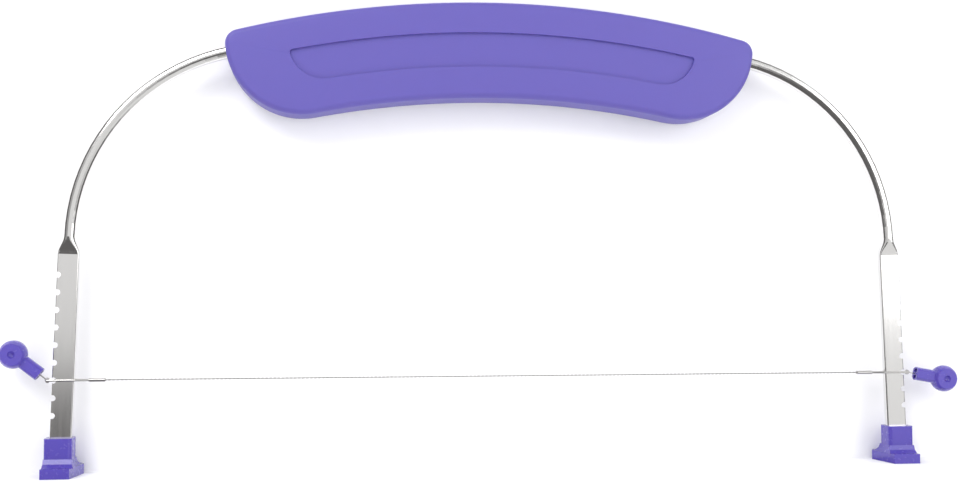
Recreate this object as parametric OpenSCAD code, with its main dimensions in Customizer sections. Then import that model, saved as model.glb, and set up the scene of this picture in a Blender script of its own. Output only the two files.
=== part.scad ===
// Cake leveler: a bent steel bow on two plastic feet, with a cutting wire
// that is set in one of nine notches on each leg.
// X runs along the wire, Y is the depth and Z = 0 is the soles' plane.

/* [Bow] */
// Diameter of the round rod
rod_d = 4.7; // [4:0.1:5]
// Distance of each corner arc's centre from the middle
corner_x = 77.8; // [76:0.2:80]
// Height of the corner arcs' centres above the soles
corner_z = 79.4; // [77:0.2:82]
// Radius of the corner arcs at the rod's centre line
corner_r = 69; // [68:0.5:70]
// Radius of the long arc through the grip
crown_r = 420; // [410:5:430]
// Outward lean of each leg in degrees
leg_lean = 1.8; // [1.4:0.1:2.2]
// Width of the flattened leg
leg_w = 7.4; // [6.8:0.1:7.8]
// Thickness of the flattened leg
leg_t = 2.4; // [2:0.1:2.6]
// Rounding of the flattened leg's long edges
leg_edge_r = 0.6; // [0.4:0.1:0.8]
// Length over which the round rod turns flat
press_len = 6; // [4:0.5:8]

/* [Notches] */
// Number of notches on each leg
notch_n = 9; // [7:1:9]
// Distance from one notch to the next
notch_pitch = 6; // [5.6:0.1:6]
// Height of the lowest notch above the soles
notch_z = 20.5; // [19:0.5:22]
// Width of a notch
notch_h = 2; // [1.6:0.1:2.2]
// Depth of a notch
notch_d = 1.6; // [1.2:0.1:1.8]

/* [Grip] */
// Height of the grip's top edge above the rod's centre line at the middle
rod_cover = 7.9; // [7:0.1:9]
// Height of the grip at the middle
grip_h = 34.2; // [33:0.2:35]
// Radius of the grip's top edge
grip_top_r = 360; // [355:1:365]
// Radius of the grip's hollow lower edge
grip_low_r = 322; // [318:1:326]
// Distance of each lower lobe's centre from the middle
lobe_x = 68.4; // [67:0.2:70]
// Radius of each lower lobe
lobe_r = 26; // [25:0.5:27]
// Radius of the upper corners
grip_corner_r = 5; // [4:0.5:6]
// Thickness of one grip shell
shell_t = 7; // [6.5:0.5:8]
// Rounding of the grip's front and back edges
grip_edge_r = 2; // [1:0.25:2.5]
// Depth of the sunk panel
panel_d = 1; // [0.6:0.1:1.4]
// Width of the band round the sunk panel
band_w = 11; // [10:0.2:12]
// Distance of each panel lobe's centre from the middle
panel_lobe_x = 60.5; // [59:0.5:62]
// Radius of each panel lobe
panel_lobe_r = 12; // [11.5:0.5:13]
// Diameter of the pegs that join the shells
peg_d = 4; // [3:0.5:4.5]

/* [Feet] */
// Height of a foot
foot_h = 13; // [12:0.5:14]
// Thickness of the sole plate
plate_t = 3.4; // [3:0.1:4]
// Floor under the leg's end
foot_floor = 2.2; // [1.6:0.1:2.6]
// Wall of the socket at the leg's narrow sides
socket_wall = 1; // [0.8:0.1:1.2]
// Depth of the socket block from front to back
socket_y = 8; // [7:0.5:9]
// Depth of the sole plate from front to back
plate_y = 17.4; // [16:0.2:19]

/* [Wire] */
// Notch that holds the wire, counted from the lowest
wire_notch = 3; // [3:1:5]
// Diameter of the cutting wire
wire_d = 0.6; // [0.5:0.05:0.7]
// Diameter of the loop wire
loop_d = 0.7; // [0.6:0.05:0.8]
// Gap between the loop's strands and the leg
loop_gap = 0.12; // [0.1:0.01:0.2]
// Length of a crimp sleeve
sleeve_len = 5.5; // [5:0.25:6]
// Thickness of a crimp sleeve
sleeve_t = 1.2; // [1.1:0.05:1.4]
// Distance from the leg's middle to the sleeve's outer end
sleeve_off = 8.5; // [8:0.25:9.5]

/* [Knobs] */
// Diameter of a knob's head
head_d = 9.7; // [9:0.1:10.5]
// Thickness of a knob's head
head_t = 6.4; // [5.5:0.1:7]
// Diameter of the dimple in the head
dimple_d = 2.6; // [2:0.1:3]
// Width of a knob's stem
stem_w = 4.8; // [4.4:0.1:5.2]
// Thickness of a knob's stem
stem_t = 4; // [3.6:0.1:4.4]
// Distance from the swivel to the stem's end
stem_off = 3.2; // [3:0.1:4]
// Distance from the swivel to the head's centre
head_off = 14.4; // [14:0.2:17]
// Angle of the left knob above the wire in degrees
left_angle = 38; // [0:1:50]
// Angle of the right knob below the wire in degrees
right_angle = 10; // [0:1:40]

/* [Hidden] */
$fn = 64;
steel = "#c8c8cc";
purple = "#6f66c4";
deep_purple = "#5546a0";
cut = 0.5;
fit = 0.05;

// The crown arc and the corner arcs share one tangent where they meet.
join_a = asin(corner_x / (crown_r - corner_r));
crown_z = corner_z - (crown_r - corner_r) * cos(join_a);
grip_top_z = crown_z + crown_r + rod_cover;
leg_x = corner_x + corner_r * cos(leg_lean);
leg_top_z = corner_z + corner_r * sin(leg_lean);
function leg_mid(z) = leg_x + (leg_top_z - z) * tan(leg_lean);
wire_z = notch_z + (wire_notch - 1) * notch_pitch;
wire_leg_x = leg_mid(wire_z);

// Where two circles cross, on the side of greater X.
function meet(c1, r1, c2, r2) =
    let (d = norm(c2 - c1),
         a = (r1 * r1 - r2 * r2 + d * d) / (2 * d),
         h = sqrt(r1 * r1 - a * a),
         u = (c2 - c1) / d)
    c1 + a * u + h * [u[1], -u[0]];
function arc(c, r, from, to, n) =
    [for (i = [0 : n]) c + r * [cos(from + (to - from) * i / n), sin(from + (to - from) * i / n)]];
function angle_of(v) = atan2(v[1], v[0]);

// Half outlines run from the bottom middle to the top middle.
top_c = [0, grip_top_z - grip_top_r];
low_c = [0, grip_top_z - grip_h - grip_low_r];
function half_outline(tr, lr, lx, br, cr, e) =
    let (l = [lx, low_c[1] + sqrt((lr + br) * (lr + br) - lx * lx)],
         u = meet(top_c, tr - cr, l, br - cr),
         a_low = angle_of(l - low_c),
         a_mid = angle_of(u - l),
         a_top = angle_of(u - top_c))
    concat(arc(low_c, lr + e, 90, a_low, 14),
           arc(l, br - e, a_low - 180, a_mid, 14),
           arc(u, cr - e, a_mid, a_top, 7),
           arc(top_c, tr - e, a_top, 90, 18));
function mirrored(h) =
    concat([for (i = [0 : len(h) - 2]) h[i]],
           [for (i = [len(h) - 1 : -1 : 1]) [-h[i][0], h[i][1]]]);
function grip_outline(e) =
    mirrored(half_outline(grip_top_r, grip_low_r, lobe_x, lobe_r, grip_corner_r, e));
function panel_outline() =
    mirrored(half_outline(grip_top_r - band_w, grip_low_r + band_w, panel_lobe_x, panel_lobe_r, 1, 0));

// A plate between the middle plane and Y = -shell_t with a rounded front edge.
module half_grip() {
    steps = 5;
    rings = concat([[0, 0]],
        [for (i = [0 : steps])
            [shell_t - grip_edge_r + grip_edge_r * sin(90 * i / steps),
             grip_edge_r * (1 - cos(90 * i / steps))]]);
    pts = [for (g = rings) for (p = grip_outline(g[1])) [p[0], -g[0], p[1]]];
    n = len(grip_outline(0));
    m = len(rings);
    polyhedron(
        points = pts,
        faces = concat(
            [[for (i = [0 : n - 1]) i]],
            [for (j = [0 : m - 2]) for (i = [0 : n - 1])
                [j * n + i, (j + 1) * n + i, (j + 1) * n + (i + 1) % n, j * n + (i + 1) % n]],
            [[for (i = [n - 1 : -1 : 0]) (m - 1) * n + i]]));
}

// Points of the rod's section at one place on its path: round at flat = 0, pressed at flat = 1.
corner_steps = 5;
section_n = 4 * (corner_steps + 1);
function section_point(k, flat, grow) =
    let (q = floor(k / (corner_steps + 1)),
         a = 90 * q + 90 * (k % (corner_steps + 1)) / corner_steps,
         b = 90 * (k + 0.5) / (corner_steps + 1),
         sx = (q == 0 || q == 3) ? 1 : -1,
         sy = (q < 2) ? 1 : -1,
         r = leg_edge_r,
         pressed = [sx * (leg_w / 2 + grow - r), sy * (leg_t / 2 + grow - r)] + r * [cos(a), sin(a)],
         round_r = rod_d / 2 + grow)
    (1 - flat) * round_r * [cos(b), sin(b)] + flat * pressed;

// One ring: its centre, the outward direction in the X-Z plane and how flat it is.
function crown_rings() =
    [for (i = [0 : 12]) let (a = 90 - join_a * i / 12)
        [[0, crown_z] + crown_r * [cos(a), sin(a)], [cos(a), sin(a)], 0]];
function corner_rings() =
    [for (i = [1 : 20]) let (a = 90 - join_a - (90 - join_a - leg_lean) * i / 20)
        [[corner_x, corner_z] + corner_r * [cos(a), sin(a)], [cos(a), sin(a)], 0]];
leg_dir = [sin(leg_lean), -cos(leg_lean)];
leg_out = [cos(leg_lean), sin(leg_lean)];
leg_len = (leg_top_z - foot_floor) / cos(leg_lean);
function leg_rings() =
    concat([for (i = [1 : 5]) let (f = i / 5)
               [[leg_x, leg_top_z] + press_len * f * leg_dir, leg_out, f * f * (3 - 2 * f)]],
           [[[leg_x, leg_top_z] + leg_len * leg_dir, leg_out, 1]]);
function mirror_ring(g) = [[-g[0][0], g[0][1]], [-g[1][0], g[1][1]], g[2]];

// Skins a row of rings into one solid.
module skin(rings, grow) {
    n = section_n;
    m = len(rings);
    pts = [for (g = rings) for (k = [0 : n - 1])
        let (p = section_point(k, g[2], grow), c = g[0] + p[0] * g[1]) [c[0], p[1], c[1]]];
    polyhedron(
        points = pts,
        faces = concat(
            [[for (i = [n - 1 : -1 : 0]) i]],
            [for (j = [0 : m - 2]) for (i = [0 : n - 1])
                [j * n + i, j * n + (i + 1) % n, (j + 1) * n + (i + 1) % n, (j + 1) * n + i]],
            [[for (i = [0 : n - 1]) (m - 1) * n + i]]));
}

module rod_in_grip(grow) {
    half = concat(crown_rings(), [for (i = [0 : 5]) corner_rings()[i]]);
    skin(concat([for (i = [len(half) - 1 : -1 : 1]) mirror_ring(half[i])], half), grow);
}

module leg_bar(grow) {
    skin([[[leg_x, leg_top_z] + press_len * leg_dir, leg_out, 1],
          [[leg_x, leg_top_z] + leg_len * leg_dir, leg_out, 1]], grow);
}

module bow_frame() color(steel) {
    half = concat(crown_rings(), corner_rings(), leg_rings());
    difference() {
        skin(concat([for (i = [len(half) - 1 : -1 : 1]) mirror_ring(half[i])], half), 0);
        for (s = [0, 1]) mirror([s, 0, 0]) for (i = [0 : notch_n - 1]) {
            z = notch_z + i * notch_pitch;
            x = leg_mid(z) + leg_w / 2 - notch_d + notch_h / 2;
            translate([x, 0, z]) rotate([90, 0, 0])
                cylinder(h = leg_t + 2 * cut, d = notch_h, center = true, $fn = 32);
            translate([x, -leg_t / 2 - cut, z - notch_h / 2])
                cube([notch_d + cut, leg_t + 2 * cut, notch_h]);
        }
    }
}

module pegs(grow) {
    for (x = [-1, 1])
        translate([x * lobe_x * 0.9, 0, grip_top_z - grip_h + 3]) rotate([90, 0, 0])
            cylinder(h = shell_t + grow, d = peg_d + 2 * grow, center = true);
}

module grip_shell() {
    difference() {
        half_grip();
        rod_in_grip(fit);
        translate([0, -shell_t + panel_d, 0]) rotate([90, 0, 0])
            linear_extrude(panel_d + cut) polygon(panel_outline());
    }
}

module grip_front_shell() color(purple) {
    grip_shell();
    pegs(0);
}

module grip_back_shell() color(purple) {
    difference() {
        mirror([0, 1, 0]) grip_shell();
        pegs(0);
    }
}

// A foot seen along its leg's middle: the sole plate, a flare and the socket.
module foot() {
    mid = leg_mid(foot_floor);
    out = leg_w / 2 + socket_wall;
    flare = plate_t + 2.6;
    difference() {
        union() {
            translate([mid, 0, 0]) linear_extrude(plate_t)
                polygon([[out, -plate_y / 2], [-out - 0.2, -plate_y / 2], [-out - 2.2, plate_y / 2 - 2.6],
                         [-out - 0.8, plate_y / 2], [out, plate_y / 2]]);
            hull() {
                translate([mid - out - 1, -socket_y / 2 - 2.4, plate_t - 0.1])
                    cube([2 * out + 1, socket_y + 4.8, 0.1]);
                translate([mid - out - 0.3, -socket_y / 2 - 0.7, plate_t + 1])
                    cube([2 * out + 0.3, socket_y + 1.4, 0.1]);
            }
            hull() {
                translate([mid - out - 0.3, -socket_y / 2 - 0.7, plate_t + 1])
                    cube([2 * out + 0.3, socket_y + 1.4, 0.1]);
                translate([mid - out, -socket_y / 2, flare]) cube([2 * out, socket_y, 0.1]);
            }
            socket_block(mid, out);
        }
        leg_bar(fit);
    }
}

module socket_block(mid, out) {
    r = 1.4;
    translate([mid, 0, plate_t]) linear_extrude(foot_h - plate_t) {
        square([2 * (out - r), socket_y], center = true);
        square([2 * out, socket_y - 2 * r], center = true);
        for (x = [-1, 1]) for (y = [-1, 1])
            translate([x * (out - r), y * (socket_y / 2 - r)]) circle(r);
    }
}

module left_foot() color(deep_purple) mirror([1, 0, 0]) foot();
module right_foot() color(deep_purple) foot();

// A round wire between two points with rounded ends.
module strand(a, b, d) {
    v = b - a;
    translate(a) rotate([0, acos(v[2] / norm(v)), atan2(v[1], v[0])]) cylinder(h = norm(v), d = d, $fn = 14);
    for (p = [a, b]) translate(p) sphere(d = d, $fn = 14);
}

strand_y = leg_t / 2 + loop_gap + loop_d / 2;
pair_y = loop_d / 2 + 0.05;
eye_gap = 0.05;
eye_wire = 0.5;
eye_r = loop_d / 2 + eye_gap + eye_wire / 2;
swivel_x = wire_leg_x + leg_w / 2 + eye_r + eye_wire / 2 + 0.7;
sleeve_out = wire_leg_x - sleeve_off;
sleeve_in = sleeve_out - sleeve_len;
tuck = sleeve_len * 0.4;

module cutting_wire() color(steel)
    translate([0, 0, wire_z]) rotate([0, 90, 0])
        cylinder(h = 2 * (sleeve_in + tuck), d = wire_d, center = true);

module sleeve() {
    h = 2 * pair_y + loop_d + 0.6;
    difference() {
        translate([sleeve_in, 0, wire_z]) rotate([90, 0, 90]) linear_extrude(sleeve_len) {
            square([h - sleeve_t, sleeve_t], center = true);
            for (y = [-1, 1]) translate([y * (h - sleeve_t) / 2, 0]) circle(d = sleeve_t);
        }
        loop();
        cutting_wire();
    }
}
module left_crimp_sleeve() color(steel) mirror([1, 0, 0]) sleeve();
module right_crimp_sleeve() color(steel) sleeve();

module loop() {
    for (s = [-1, 1]) {
        strand([sleeve_out - tuck, s * pair_y, wire_z], [sleeve_out + 0.2, s * pair_y, wire_z], loop_d);
        strand([sleeve_out + 0.2, s * pair_y, wire_z], [wire_leg_x - leg_w / 2 - 0.6, s * strand_y, wire_z], loop_d);
        strand([wire_leg_x - leg_w / 2 - 0.6, s * strand_y, wire_z], [swivel_x, s * strand_y, wire_z], loop_d);
    }
    strand([swivel_x, -strand_y, wire_z], [swivel_x, strand_y, wire_z], loop_d);
}
module left_wire_loop() color(steel) mirror([1, 0, 0]) loop();
module right_wire_loop() color(steel) loop();

// Places its children at a swivel, X running out along the knob.
module at_left_swivel() {
    mirror([1, 0, 0]) translate([swivel_x, 0, wire_z]) rotate([0, -left_angle, 0]) children();
}
module at_right_swivel() {
    translate([swivel_x, 0, wire_z]) rotate([0, right_angle, 0]) children();
}

shank_end = stem_off + 4;
module shank() {
    rotate([90, 0, 0]) rotate_extrude() translate([eye_r, 0]) circle(d = eye_wire, $fn = 32);
    translate([eye_r, 0, 0]) rotate([0, 90, 0]) cylinder(h = shank_end - eye_r, d = eye_wire);
}
module left_knob_shank() color(steel) at_left_swivel() shank();
module right_knob_shank() color(steel) at_right_swivel() shank();

// Half of the head's section: a flattened ball with a dimple front and back.
module head_profile() {
    difference() {
        intersection() {
            circle(d = head_d);
            translate([0, -head_t / 2]) square([head_d, head_t]);
        }
        for (y = [-1, 1]) translate([0, y * (head_t / 2 + 0.4)]) circle(d = dimple_d);
    }
}

module knob() {
    pocket_w = stem_w / 4;
    difference() {
        union() {
            translate([head_off, 0, 0]) rotate([90, 0, 0]) rotate_extrude() head_profile();
            intersection() {
                translate([stem_off, 0, 0]) rotate([0, 90, 0])
                    cylinder(h = head_off - stem_off, d = stem_w);
                translate([stem_off, -stem_t / 2, -stem_w]) cube([head_off - stem_off, stem_t, 2 * stem_w]);
            }
        }
        for (z = [-1, 1]) translate([stem_off - cut, -stem_t / 4, z * stem_w / 4 - pocket_w / 2])
            cube([1.2 + cut, stem_t / 2, pocket_w]);
        translate([stem_off - cut, 0, 0]) rotate([0, 90, 0])
            cylinder(h = shank_end - stem_off + cut, d = eye_wire);
    }
}
module left_knob() color(deep_purple) at_left_swivel() knob();
module right_knob() color(deep_purple) at_right_swivel() knob();

bow_frame();
grip_front_shell();
grip_back_shell();
left_foot();
right_foot();
cutting_wire();
left_crimp_sleeve();
right_crimp_sleeve();
left_wire_loop();
right_wire_loop();
left_knob_shank();
right_knob_shank();
left_knob();
right_knob();
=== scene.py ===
"""Cake leveler: finishes, twisted wire, grip shells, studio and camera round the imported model."""
import math
import bpy
from mathutils import Matrix, Vector


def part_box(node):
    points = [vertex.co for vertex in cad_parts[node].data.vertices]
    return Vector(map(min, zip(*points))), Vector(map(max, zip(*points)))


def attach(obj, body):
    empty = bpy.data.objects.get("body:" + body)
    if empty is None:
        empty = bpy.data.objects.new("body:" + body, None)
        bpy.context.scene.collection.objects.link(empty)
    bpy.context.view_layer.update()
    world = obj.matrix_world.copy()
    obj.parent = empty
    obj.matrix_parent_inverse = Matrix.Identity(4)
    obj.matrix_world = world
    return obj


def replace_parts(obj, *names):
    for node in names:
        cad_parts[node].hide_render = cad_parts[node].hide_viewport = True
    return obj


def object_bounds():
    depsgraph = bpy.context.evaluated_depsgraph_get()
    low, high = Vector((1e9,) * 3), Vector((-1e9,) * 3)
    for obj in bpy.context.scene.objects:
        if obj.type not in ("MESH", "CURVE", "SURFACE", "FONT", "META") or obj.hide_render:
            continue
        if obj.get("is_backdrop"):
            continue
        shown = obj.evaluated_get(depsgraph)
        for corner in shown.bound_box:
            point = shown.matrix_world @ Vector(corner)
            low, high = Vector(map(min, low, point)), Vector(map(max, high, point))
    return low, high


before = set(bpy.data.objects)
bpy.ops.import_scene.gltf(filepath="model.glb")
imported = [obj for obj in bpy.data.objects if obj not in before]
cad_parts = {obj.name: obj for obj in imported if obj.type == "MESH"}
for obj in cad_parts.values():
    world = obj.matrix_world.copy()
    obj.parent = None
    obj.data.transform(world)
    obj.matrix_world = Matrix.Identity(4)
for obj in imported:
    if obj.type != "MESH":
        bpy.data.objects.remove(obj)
low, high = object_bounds()

# Bow: one steel rod, bent to an arch, pressed flat at both legs and notched.
# It is bare and polished, with fine lines from the polishing along the legs.
# The grain is one noise, which moves the roughness between two limits.
POLISH_SPREAD = 0.08
LINES_ACROSS = 900.0
fine_grain = bpy.data.node_groups.new("fine_grain", "ShaderNodeTree")
for socket, kind in (("Vector", "NodeSocketVector"), ("Scale", "NodeSocketVector"),
                     ("Smoothest", "NodeSocketFloat"), ("Roughest", "NodeSocketFloat")):
    fine_grain.interface.new_socket(socket, in_out="INPUT", socket_type=kind)
for socket in ("Roughness", "Height"):
    fine_grain.interface.new_socket(socket, in_out="OUTPUT", socket_type="NodeSocketFloat")
given = fine_grain.nodes.new("NodeGroupInput")
result = fine_grain.nodes.new("NodeGroupOutput")
mapping = fine_grain.nodes.new("ShaderNodeMapping")
noise = fine_grain.nodes.new("ShaderNodeTexNoise")
noise.inputs["Scale"].default_value = 1.0
limits = fine_grain.nodes.new("ShaderNodeMapRange")
fine_grain.links.new(given.outputs["Vector"], mapping.inputs["Vector"])
fine_grain.links.new(given.outputs["Scale"], mapping.inputs["Scale"])
fine_grain.links.new(mapping.outputs["Vector"], noise.inputs["Vector"])
fine_grain.links.new(noise.outputs["Fac"], limits.inputs["Value"])
fine_grain.links.new(given.outputs["Smoothest"], limits.inputs["To Min"])
fine_grain.links.new(given.outputs["Roughest"], limits.inputs["To Max"])
fine_grain.links.new(limits.outputs["Result"], result.inputs["Roughness"])
fine_grain.links.new(noise.outputs["Fac"], result.inputs["Height"])


def grained(name, colour, scale, smoothest, roughest):
    """A material with the fine grain: the material itself, its shader and its grain."""
    mat = bpy.data.materials.new(name)
    mat.use_nodes = True
    tree = mat.node_tree
    shader = tree.nodes["Principled BSDF"]
    shader.inputs["Base Color"].default_value = colour
    place = tree.nodes.new("ShaderNodeTexCoord")
    grain = tree.nodes.new("ShaderNodeGroup")
    grain.node_tree = fine_grain
    grain.inputs["Scale"].default_value = scale
    grain.inputs["Smoothest"].default_value = smoothest
    grain.inputs["Roughest"].default_value = roughest
    tree.links.new(place.outputs["Object"], grain.inputs["Vector"])
    tree.links.new(grain.outputs["Roughness"], shader.inputs["Roughness"])
    return mat, shader, grain


def steel(name, colour, roughness, lines_along):
    """Bare steel. Few lines along Z against those across make them long."""
    scale = (LINES_ACROSS, LINES_ACROSS, lines_along)
    mat, shader, _ = grained(name, colour, scale, roughness, roughness + POLISH_SPREAD)
    shader.inputs["Metallic"].default_value = 1.0
    return mat


def paint(mat, *names):
    """Gives CAD nodes one material."""
    for name in names:
        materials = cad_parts[name].data.materials
        materials.clear()
        materials.append(mat)


POLISHED = steel("polished_steel", (0.80, 0.79, 0.78, 1), roughness=0.10, lines_along=40.0)
paint(POLISHED, "bow_frame")

# Feet: two small blocks moulded from glossy purple plastic, pressed onto the legs' ends.
# They are deeper in colour than the grip.
MM = 0.001
MOULD_SPREAD = 0.05
GRAIN_DEPTH = 0.05 * MM
GRAIN_STRENGTH = 0.04
SKIN_GLOW = 0.08
SKIN_DEPTH = 2 * MM


def plastic(name, colour, roughness, grains, coat):
    """Moulded plastic, whose grain is also a faint relief. grains are counted a metre."""
    mat, shader, grain = grained(name, colour, (grains, grains, grains),
                                 roughness - MOULD_SPREAD, roughness + MOULD_SPREAD)
    shader.inputs["Coat Weight"].default_value = coat
    shader.inputs["Subsurface Weight"].default_value = SKIN_GLOW
    shader.inputs["Subsurface Scale"].default_value = SKIN_DEPTH
    tree = mat.node_tree
    relief = tree.nodes.new("ShaderNodeBump")
    relief.inputs["Strength"].default_value = GRAIN_STRENGTH
    relief.inputs["Distance"].default_value = GRAIN_DEPTH
    tree.links.new(grain.outputs["Height"], relief.inputs["Height"])
    tree.links.new(relief.outputs["Normal"], shader.inputs["Normal"])
    return mat


GLOSSY = plastic("foot_plastic", (0.085, 0.06, 0.38, 1), roughness=0.26, grains=900.0, coat=0.3)
paint(GLOSSY, "left_foot", "right_foot")

# Sleeves, loops and shanks: bent and crimped from drawn steel wire.
# A sleeve holds each end of the cutting wire. A loop hangs it on the leg, and a shank with
# a small eye joins the loop to its knob.
DRAWN = steel("wire_steel", (0.55, 0.54, 0.53, 1), roughness=0.25, lines_along=900.0)
paint(DRAWN, "left_crimp_sleeve", "right_crimp_sleeve", "left_wire_loop", "right_wire_loop",
      "left_knob_shank", "right_knob_shank")

# Knobs: small heads on stems, moulded round the shanks from the plastic of the feet.
paint(GLOSSY, "left_knob", "right_knob")

# Cutting wire: two fine strands of drawn steel, twisted round each other, which gives teeth.
# It runs from sleeve to sleeve, inside the plain wire of the CAD model.
TWIST = 2.8 * MM
STRAND_SHARE = 0.48
STRAND_SIDES = 8
STEPS_A_TURN = 12
paint(DRAWN, "cutting_wire")
wire_low, wire_high = (Vector(corner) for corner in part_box("cutting_wire"))
wire_mid = (wire_low + wire_high) / 2
wire_len = wire_high.x - wire_low.x
wire_r = (wire_high.z - wire_low.z) / 2
strand_r = wire_r * STRAND_SHARE
steps = int(wire_len / TWIST * STEPS_A_TURN)
points = []
faces = []
for start in (0, math.pi):
    first = len(points)
    for i in range(steps + 1):
        x = wire_low.x + wire_len * i / steps
        turn = 2 * math.pi * (x - wire_low.x) / TWIST + start
        centre_y = wire_mid.y + (wire_r - strand_r) * math.cos(turn)
        centre_z = wire_mid.z + (wire_r - strand_r) * math.sin(turn)
        for k in range(STRAND_SIDES):
            a = 2 * math.pi * k / STRAND_SIDES
            points.append((x, centre_y + strand_r * math.cos(a), centre_z + strand_r * math.sin(a)))
    for i in range(steps):
        for k in range(STRAND_SIDES):
            here = first + i * STRAND_SIDES + k
            beside = first + i * STRAND_SIDES + (k + 1) % STRAND_SIDES
            faces.append((here, beside, beside + STRAND_SIDES, here + STRAND_SIDES))
    faces.append(tuple(first + k for k in reversed(range(STRAND_SIDES))))
    faces.append(tuple(first + steps * STRAND_SIDES + k for k in range(STRAND_SIDES)))


def piece(name, points, faces, mat):
    """A smooth mesh object."""
    mesh = bpy.data.meshes.new(name)
    mesh.from_pydata(points, [], faces)
    mesh.materials.append(mat)
    for face in mesh.polygons:
        face.use_smooth = True
    obj = bpy.data.objects.new(name, mesh)
    bpy.context.collection.objects.link(obj)
    return obj


twisted = piece("twisted_cutting_wire", points, faces, DRAWN)
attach(twisted, "wire")
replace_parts(twisted, "cutting_wire")

# Grip: two moulded shells of satin purple plastic, clamped round the rod.
# Each is a curved bar with lobed ends, rounded edges and a sunk panel on its face. The outlines
# are made of arcs that meet without a corner, as in the CAD model.
TOP_R = 360 * MM
LOW_R = 322 * MM
GRIP_H = 34.2 * MM
LOBE_X = 68.4 * MM
LOBE_R = 26 * MM
CORNER_R = 5 * MM
EDGE_R = 2 * MM
BAND_W = 11 * MM
PANEL_LOBE_X = 60.5 * MM
PANEL_LOBE_R = 12 * MM
PANEL_CORNER_R = 1 * MM
PANEL_D = 1 * MM
PANEL_DRAFT = 0.15 * MM
BAR_LINE = (TOP_R, LOW_R, LOBE_X, LOBE_R, CORNER_R)
PANEL_LINE = (TOP_R - BAND_W, LOW_R + BAND_W, PANEL_LOBE_X, PANEL_LOBE_R, PANEL_CORNER_R)
LOW_STEPS = 24
LOBE_STEPS = 24
CORNER_STEPS = 10
TOP_STEPS = 30
EDGE_STEPS = 8
SHARP_ANGLE = math.radians(35)
SATIN = plastic("grip_plastic", (0.108, 0.086, 0.38, 1), roughness=0.46, grains=2600.0, coat=0.0)
paint(SATIN, "grip_front_shell", "grip_back_shell")
shell_low, shell_high = (Vector(corner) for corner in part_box("grip_front_shell"))
shell_t = -shell_low.y
top_centre = Vector((0, shell_high.z - TOP_R))
low_centre = Vector((0, shell_high.z - GRIP_H - LOW_R))


def angle_of(v):
    """The direction of a vector in the X-Z plane."""
    return math.atan2(v.y, v.x)


def arc(centre, radius, start, end, n):
    """n + 1 points along an arc."""
    angles = [start + (end - start) * i / n for i in range(n + 1)]
    return [centre + radius * Vector((math.cos(a), math.sin(a))) for a in angles]


def outline(top_r, low_r, lobe_x, lobe_r, corner_r, inset):
    """A closed outline in X and Z, drawn in by inset."""
    lobe = Vector((lobe_x, low_centre.y + math.sqrt((low_r + lobe_r) ** 2 - lobe_x ** 2)))
    span = lobe - top_centre
    near = top_r - corner_r
    far = lobe_r - corner_r
    along = (near ** 2 - far ** 2 + span.length ** 2) / (2 * span.length)
    away = math.sqrt(near ** 2 - along ** 2)
    unit = span.normalized()
    corner = top_centre + along * unit + away * Vector((unit.y, -unit.x))
    a_low = angle_of(lobe - low_centre)
    a_mid = angle_of(corner - lobe)
    a_top = angle_of(corner - top_centre)
    half = arc(low_centre, low_r + inset, math.pi / 2, a_low, LOW_STEPS)
    half += arc(lobe, lobe_r - inset, a_low - math.pi, a_mid, LOBE_STEPS)
    half += arc(corner, corner_r - inset, a_mid, a_top, CORNER_STEPS)
    half += arc(top_centre, top_r - inset, a_top, math.pi / 2, TOP_STEPS)
    return half[:-1] + [Vector((-v.x, v.y)) for v in half[:0:-1]]


def shell(name, side, thickness):
    """One half of the grip, from the middle plane to its face. side is -1 for the front."""
    rings = [(0.0, outline(*BAR_LINE, 0))]
    for i in range(EDGE_STEPS + 1):
        a = math.pi / 2 * i / EDGE_STEPS
        depth = thickness - EDGE_R + EDGE_R * math.sin(a)
        rings.append((depth, outline(*BAR_LINE, EDGE_R * (1 - math.cos(a)))))
    rings.append((thickness, outline(*PANEL_LINE, 0)))
    rings.append((thickness - PANEL_D, outline(*PANEL_LINE, PANEL_DRAFT)))
    n = len(rings[0][1])
    points = [(v.x, side * depth, v.y) for depth, ring in rings for v in ring]
    faces = []
    for j in range(len(rings) - 1):
        for i in range(n):
            beside = (i + 1) % n
            faces.append((j * n + i, j * n + beside, (j + 1) * n + beside, (j + 1) * n + i))
    faces.append(tuple(reversed(range(n))))
    faces.append(tuple((len(rings) - 1) * n + i for i in range(n)))
    if side > 0:
        faces = [face[::-1] for face in faces]
    obj = piece(name, points, faces, SATIN)
    obj.data.set_sharp_from_angle(angle=SHARP_ANGLE)
    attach(obj, "bow")
    return obj


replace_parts(shell("grip_front", -1, shell_t), "grip_front_shell")
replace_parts(shell("grip_back", 1, shell_t), "grip_back_shell")

# Stage: an upright white backdrop close behind the object, and a white floor under it.
# The backdrop is clear from behind, so that the object can be seen from there.
STAGE_W = 1.2
BACKDROP_GAP = 0.4 * MM
WHITE = (0.93, 0.93, 0.94, 1)
backdrop_y = high[1] + BACKDROP_GAP


def white_surface(name, one_sided):
    """A white matte surface, clear from behind if one_sided."""
    mat = bpy.data.materials.new(name)
    mat.use_nodes = True
    tree = mat.node_tree
    out = tree.nodes["Material Output"]
    tree.nodes.remove(tree.nodes["Principled BSDF"])
    matte = tree.nodes.new("ShaderNodeBsdfDiffuse")
    matte.inputs["Color"].default_value = WHITE
    if not one_sided:
        tree.links.new(matte.outputs["BSDF"], out.inputs["Surface"])
        return mat
    clear = tree.nodes.new("ShaderNodeBsdfTransparent")
    side = tree.nodes.new("ShaderNodeNewGeometry")
    mix = tree.nodes.new("ShaderNodeMixShader")
    tree.links.new(side.outputs["Backfacing"], mix.inputs["Fac"])
    tree.links.new(matte.outputs["BSDF"], mix.inputs[1])
    tree.links.new(clear.outputs["BSDF"], mix.inputs[2])
    tree.links.new(mix.outputs["Shader"], out.inputs["Surface"])
    return mat


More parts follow.
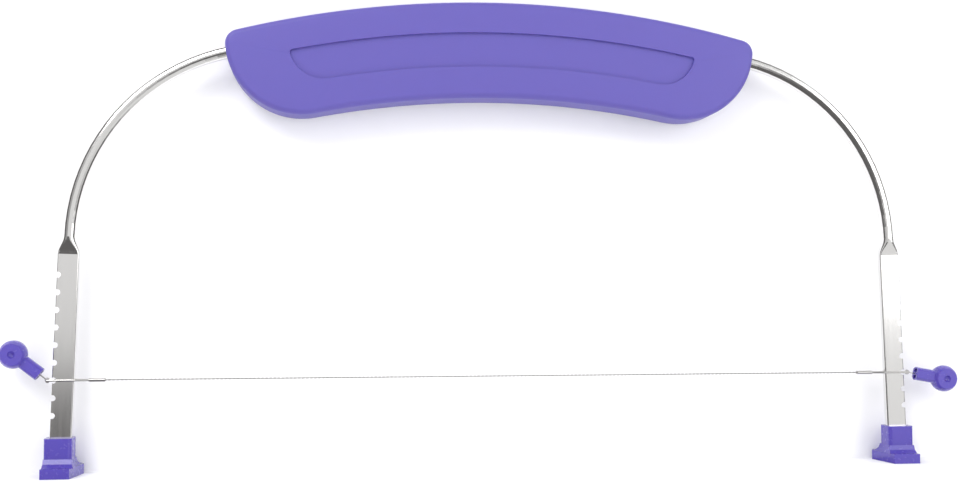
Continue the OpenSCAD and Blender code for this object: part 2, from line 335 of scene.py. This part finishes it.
def panel(name, corners, mat):
    """One flat stage surface."""
    flat = bpy.data.meshes.new(name)
    flat.from_pydata(corners, [], [(0, 1, 2, 3)])
    flat.materials.append(mat)
    obj = bpy.data.objects.new(name, flat)
    bpy.context.collection.objects.link(obj)
    obj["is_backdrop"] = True
    return obj


panel("backdrop",
      [(-STAGE_W, backdrop_y, 0), (STAGE_W, backdrop_y, 0),
       (STAGE_W, backdrop_y, STAGE_W), (-STAGE_W, backdrop_y, STAGE_W)],
      white_surface("backdrop_white", True))
floor = panel("floor",
              [(-STAGE_W, -STAGE_W, 0), (STAGE_W, -STAGE_W, 0),
               (STAGE_W, STAGE_W, 0), (-STAGE_W, STAGE_W, 0)],
              white_surface("floor_white", False))
floor.visible_glossy = False

# World: white all round, but reflections see dark sides, a dark ceiling and a dark strip low
# on the left, as polished steel does in a studio with flags.
# Each flag fades in between two values along one axis of the direction.
WORLD_STRENGTH = 0.85
FLAG_DEPTH = 0.88
FLAG_COLOUR = (0.05, 0.045, 0.045, 1)
LEFT_FLAG = (-0.45, -0.8)
RIGHT_FLAG = (0.6, 0.9)
CEILING = (0.55, 0.9)
STRIP_TOP = (-0.045, -0.065)
STRIP_END = (0.25, 0.1)
world = bpy.data.worlds.new("studio")
bpy.context.scene.world = world
world.use_nodes = True
tree = world.node_tree
background = tree.nodes["Background"]
background.inputs["Strength"].default_value = WORLD_STRENGTH
toward = tree.nodes.new("ShaderNodeTexCoord")
split = tree.nodes.new("ShaderNodeSeparateXYZ")
tree.links.new(toward.outputs["Generated"], split.inputs["Vector"])


def step(axis, start, end):
    """0 before start and 1 after end, along one axis."""
    node = tree.nodes.new("ShaderNodeMapRange")
    node.interpolation_type = "SMOOTHSTEP"
    node.inputs["From Min"].default_value = start
    node.inputs["From Max"].default_value = end
    tree.links.new(split.outputs[axis], node.inputs["Value"])
    return node.outputs["Result"]


def combine(kind, a, b):
    """A Math node on two sockets, or on a socket and a number."""
    node = tree.nodes.new("ShaderNodeMath")
    node.operation = kind
    for socket, value in zip(node.inputs, (a, b)):
        if isinstance(value, float):
            socket.default_value = value
        else:
            tree.links.new(value, socket)
    return node.outputs[0]


sides = combine("MAXIMUM", step("X", *LEFT_FLAG), step("X", *RIGHT_FLAG))
low_left = combine("MULTIPLY", step("Z", *STRIP_TOP), step("X", *STRIP_END))
flags = combine("MAXIMUM", combine("MAXIMUM", sides, low_left), step("Z", *CEILING))
rays = tree.nodes.new("ShaderNodeLightPath")
seen = combine("MULTIPLY", combine("MULTIPLY", flags, rays.outputs["Is Glossy Ray"]), FLAG_DEPTH)
studio = tree.nodes.new("ShaderNodeMix")
studio.data_type = "RGBA"
studio.inputs["A"].default_value = (1, 1, 1, 1)
studio.inputs["B"].default_value = FLAG_COLOUR
tree.links.new(seen, studio.inputs["Factor"])
tree.links.new(studio.outputs["Result"], background.inputs["Color"])

# Lamps: two soft boxes in front of the object, turned to its middle.
# The stronger one stands high on the left, the weaker one on the right.
AIM = Vector((0, 0, 0.08))


def soft_box(name, place, size, power):
    """A square soft light."""
    data = bpy.data.lights.new(name, "AREA")
    data.size = size
    data.energy = power
    lamp = bpy.data.objects.new(name, data)
    lamp.location = place
    lamp.rotation_euler = (AIM - Vector(place)).to_track_quat("-Z", "Y").to_euler()
    bpy.context.collection.objects.link(lamp)


soft_box("key", (-0.5, -0.7, 0.75), size=0.5, power=5.0)
soft_box("fill", (0.7, -0.7, 0.35), size=0.6, power=2.5)

# Camera: in front and a little left of the middle, as in the photograph.
# Its place, turn and lens were fitted to the notches, the grip's ends and the feet.
EYE = (-56.6 * MM, -441.9 * MM, 59.1 * MM)
YAW = math.radians(6.68)
PITCH = math.radians(2.43)
ROLL = math.radians(-0.16)
LENS_MM = 46.83
SENSOR_MM = 36.0
cam_data = bpy.data.cameras.new("camera")
cam_data.lens = LENS_MM
cam_data.sensor_width = SENSOR_MM
camera = bpy.data.objects.new("camera", cam_data)
aimed = Matrix.Rotation(-YAW, 4, "Z") @ Matrix.Rotation(math.pi / 2 + PITCH, 4, "X")
aimed = aimed @ Matrix.Rotation(ROLL, 4, "Z")
camera.matrix_world = Matrix.Translation(EYE) @ aimed
bpy.context.collection.objects.link(camera)
bpy.context.scene.camera = camera
bpy.context.scene.view_settings.view_transform = "Standard"

low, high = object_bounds()
